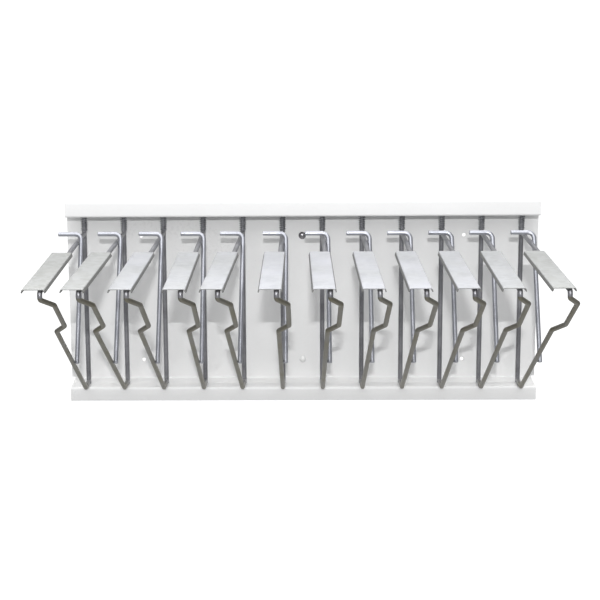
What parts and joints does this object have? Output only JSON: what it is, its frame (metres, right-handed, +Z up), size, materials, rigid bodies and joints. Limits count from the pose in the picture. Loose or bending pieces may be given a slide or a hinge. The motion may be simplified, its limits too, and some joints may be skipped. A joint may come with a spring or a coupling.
{
  "type": "wall-mounted pivoting hanger rack",
  "caption": "Folded steel wall panel with header and shelf carrying a row of spring-loaded wire hangers that swing sideways, each with a channel on top for a plan-file clamp.",
  "frame": {"origin": "centre of the panel's back face, on the wall plane", "axes": "X to the right seen from the front, +Y into the wall (arms point along -Y), Z up"},
  "size_m": [0.6096, 0.4038, 0.262],
  "materials": {
    "white_powder_coat": "satin white powder coat with a fine orange-peel texture",
    "zinc_wire": "zinc-plated drawn wire, semi-bright",
    "bright_zinc_wire": "bright zinc-plated drawn wire",
    "galvanised_sheet": "galvanised sheet, dull with a faint spangle",
    "spring_wire": "bright zinc-plated spring wire",
    "dark_screw": "dark oxide, semi-gloss",
    "painted_screw": "satin white, painted over with the panel"
  },
  "bodies": {
    "panel": {"rack_panel": "white_powder_coat", "centre_screw": "dark_screw", "lower_screw": "painted_screw"},
    "spring_seat_01": {"spring_01": "spring_wire"},
    "hanger_01": {"frame_01": "zinc_wire", "strut_01": "bright_zinc_wire", "channel_01": "galvanised_sheet"},
    "spring_seat_02": {"spring_02": "spring_wire"},
    "hanger_02": {"frame_02": "zinc_wire", "strut_02": "bright_zinc_wire", "channel_02": "galvanised_sheet"},
    "spring_seat_03": {"spring_03": "spring_wire"},
    "hanger_03": {"frame_03": "zinc_wire", "strut_03": "bright_zinc_wire", "channel_03": "galvanised_sheet"},
    "spring_seat_04": {"spring_04": "spring_wire"},
    "hanger_04": {"frame_04": "zinc_wire", "strut_04": "bright_zinc_wire", "channel_04": "galvanised_sheet"},
    "spring_seat_05": {"spring_05": "spring_wire"},
    "hanger_05": {"frame_05": "zinc_wire", "strut_05": "bright_zinc_wire", "channel_05": "galvanised_sheet"},
    "spring_seat_06": {"spring_06": "spring_wire"},
    "hanger_06": {"frame_06": "zinc_wire", "strut_06": "bright_zinc_wire", "channel_06": "galvanised_sheet"},
    "spring_seat_07": {"spring_07": "spring_wire"},
    "hanger_07": {"frame_07": "zinc_wire", "strut_07": "bright_zinc_wire", "channel_07": "galvanised_sheet"},
    "spring_seat_08": {"spring_08": "spring_wire"},
    "hanger_08": {"frame_08": "zinc_wire", "strut_08": "bright_zinc_wire", "channel_08": "galvanised_sheet"},
    "spring_seat_09": {"spring_09": "spring_wire"},
    "hanger_09": {"frame_09": "zinc_wire", "strut_09": "bright_zinc_wire", "channel_09": "galvanised_sheet"},
    "spring_seat_10": {"spring_10": "spring_wire"},
    "hanger_10": {"frame_10": "zinc_wire", "strut_10": "bright_zinc_wire", "channel_10": "galvanised_sheet"},
    "spring_seat_11": {"spring_11": "spring_wire"},
    "hanger_11": {"frame_11": "zinc_wire", "strut_11": "bright_zinc_wire", "channel_11": "galvanised_sheet"},
    "spring_seat_12": {"spring_12": "spring_wire"},
    "hanger_12": {"frame_12": "zinc_wire", "strut_12": "bright_zinc_wire", "channel_12": "galvanised_sheet"}
  },
  "joints": [
    {"name": "lift_01", "type": "slide", "parent": "panel", "child": "spring_seat_01", "axis": [0, 0, 1], "range_m": [0, 0.008], "deforming": ["spring_01"]},
    {"name": "swing_01", "type": "hinge", "parent": "spring_seat_01", "child": "hanger_01", "pos_m": [-0.2794, -0.0265, -0.013], "axis": [0, 0, 1], "range_deg": [-85, 0]},
    {"name": "lift_02", "type": "slide", "parent": "panel", "child": "spring_seat_02", "axis": [0, 0, 1], "range_m": [0, 0.008], "deforming": ["spring_02"]},
    {"name": "swing_02", "type": "hinge", "parent": "spring_seat_02", "child": "hanger_02", "pos_m": [-0.2286, -0.0265, -0.013], "axis": [0, 0, 1], "range_deg": [-90, 0]},
    {"name": "lift_03", "type": "slide", "parent": "panel", "child": "spring_seat_03", "axis": [0, 0, 1], "range_m": [0, 0.008], "deforming": ["spring_03"]},
    {"name": "swing_03", "type": "hinge", "parent": "spring_seat_03", "child": "hanger_03", "pos_m": [-0.1778, -0.0265, -0.013], "axis": [0, 0, 1], "range_deg": [-90, 0]},
    {"name": "lift_04", "type": "slide", "parent": "panel", "child": "spring_seat_04", "axis": [0, 0, 1], "range_m": [0, 0.008], "deforming": ["spring_04"]},
    {"name": "swing_04", "type": "hinge", "parent": "spring_seat_04", "child": "hanger_04", "pos_m": [-0.127, -0.0265, -0.013], "axis": [0, 0, 1], "range_deg": [-90, 0]},
    {"name": "lift_05", "type": "slide", "parent": "panel", "child": "spring_seat_05", "axis": [0, 0, 1], "range_m": [0, 0.008], "deforming": ["spring_05"]},
    {"name": "swing_05", "type": "hinge", "parent": "spring_seat_05", "child": "hanger_05", "pos_m": [-0.0762, -0.0265, -0.013], "axis": [0, 0, 1], "range_deg": [-90, 0]},
    {"name": "lift_06", "type": "slide", "parent": "panel", "child": "spring_seat_06", "axis": [0, 0, 1], "range_m": [0, 0.008], "deforming": ["spring_06"]},
    {"name": "swing_06", "type": "hinge", "parent": "spring_seat_06", "child": "hanger_06", "pos_m": [-0.0254, -0.0265, -0.013], "axis": [0, 0, 1], "range_deg": [-90, 0]},
    {"name": "lift_07", "type": "slide", "parent": "panel", "child": "spring_seat_07", "axis": [0, 0, 1], "range_m": [0, 0.008], "deforming": ["spring_07"]},
    {"name": "swing_07", "type": "hinge", "parent": "spring_seat_07", "child": "hanger_07", "pos_m": [0.0254, -0.0265, -0.013], "axis": [0, 0, 1], "range_deg": [0, 90]},
    {"name": "lift_08", "type": "slide", "parent": "panel", "child": "spring_seat_08", "axis": [0, 0, 1], "range_m": [0, 0.008], "deforming": ["spring_08"]},
    {"name": "swing_08", "type": "hinge", "parent": "spring_seat_08", "child": "hanger_08", "pos_m": [0.0762, -0.0265, -0.013], "axis": [0, 0, 1], "range_deg": [0, 90]},
    {"name": "lift_09", "type": "slide", "parent": "panel", "child": "spring_seat_09", "axis": [0, 0, 1], "range_m": [0, 0.008], "deforming": ["spring_09"]},
    {"name": "swing_09", "type": "hinge", "parent": "spring_seat_09", "child": "hanger_09", "pos_m": [0.127, -0.0265, -0.013], "axis": [0, 0, 1], "range_deg": [0, 90]},
    {"name": "lift_10", "type": "slide", "parent": "panel", "child": "spring_seat_10", "axis": [0, 0, 1], "range_m": [0, 0.008], "deforming": ["spring_10"]},
    {"name": "swing_10", "type": "hinge", "parent": "spring_seat_10", "child": "hanger_10", "pos_m": [0.1778, -0.0265, -0.013], "axis": [0, 0, 1], "range_deg": [0, 90]},
    {"name": "lift_11", "type": "slide", "parent": "panel", "child": "spring_seat_11", "axis": [0, 0, 1], "range_m": [0, 0.008], "deforming": ["spring_11"]},
    {"name": "swing_11", "type": "hinge", "parent": "spring_seat_11", "child": "hanger_11", "pos_m": [0.2286, -0.0265, -0.013], "axis": [0, 0, 1], "range_deg": [0, 90]},
    {"name": "lift_12", "type": "slide", "parent": "panel", "child": "spring_seat_12", "axis": [0, 0, 1], "range_m": [0, 0.008], "deforming": ["spring_12"]},
    {"name": "swing_12", "type": "hinge", "parent": "spring_seat_12", "child": "hanger_12", "pos_m": [0.2794, -0.0265, -0.013], "axis": [0, 0, 1], "range_deg": [0, 85]}
  ],
  "couplings": [
    {"joint": "swing_02", "follows": "swing_01", "ratio": 0.8},
    {"joint": "swing_03", "follows": "swing_01", "ratio": 0.6118},
    {"joint": "swing_04", "follows": "swing_01", "ratio": 0.4353},
    {"joint": "swing_05", "follows": "swing_01", "ratio": 0.2588},
    {"joint": "swing_06", "follows": "swing_01", "ratio": 0.0941},
    {"joint": "swing_07", "follows": "swing_12", "ratio": 0.0941},
    {"joint": "swing_08", "follows": "swing_12", "ratio": 0.2588},
    {"joint": "swing_09", "follows": "swing_12", "ratio": 0.4353},
    {"joint": "swing_10", "follows": "swing_12", "ratio": 0.6118},
    {"joint": "swing_11", "follows": "swing_12", "ratio": 0.8}
  ]
}
